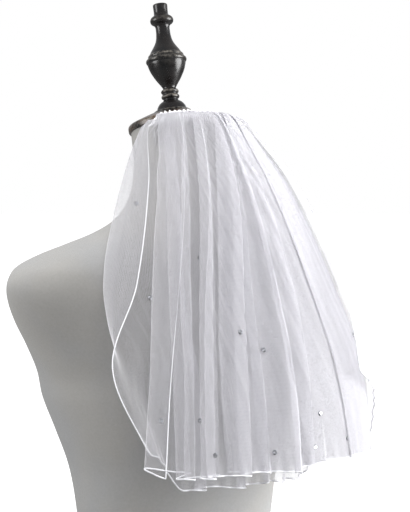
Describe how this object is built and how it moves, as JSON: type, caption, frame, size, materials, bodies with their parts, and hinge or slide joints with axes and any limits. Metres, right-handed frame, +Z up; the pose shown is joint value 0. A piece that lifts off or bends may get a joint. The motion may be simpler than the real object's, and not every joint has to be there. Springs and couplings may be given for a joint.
{
  "type": "bridal veil on a dress form",
  "caption": "Short two-tier bridal veil of gathered tulle with corded edges on a comb, hanging down the back of a limbless dress form with an urn finial.",
  "frame": {"origin": "centre of the dress form's flat base, on the surface it stands on", "axes": "+Z up through the form, +Y the way the form faces, -Y the way the veil falls down the back, +X the form's right as seen from behind it"},
  "size_m": [0.39, 0.3079, 0.7666],
  "materials": {
    "tulle": "sheer white net, very slightly cool",
    "edge_cord": "white satin-stitched cord",
    "gathered_tulle": "tightly gathered white net",
    "comb_metal": "dull silvery wire",
    "jersey": "warm grey knitted jersey, matt",
    "bronze": "dark aged bronze, satin, worn pale at the small crests",
    "rhinestone": "clear faceted flat-back stone with a foiled back"
  },
  "bodies": {
    "root": {"outer_tier": "tulle", "inner_tier": "tulle", "outer_tier_edge": "edge_cord", "inner_tier_edge": "edge_cord", "heading": "gathered_tulle", "comb": "comb_metal", "torso": "jersey", "neck_cap": "bronze", "finial": "bronze"}
  },
  "joints": []
}
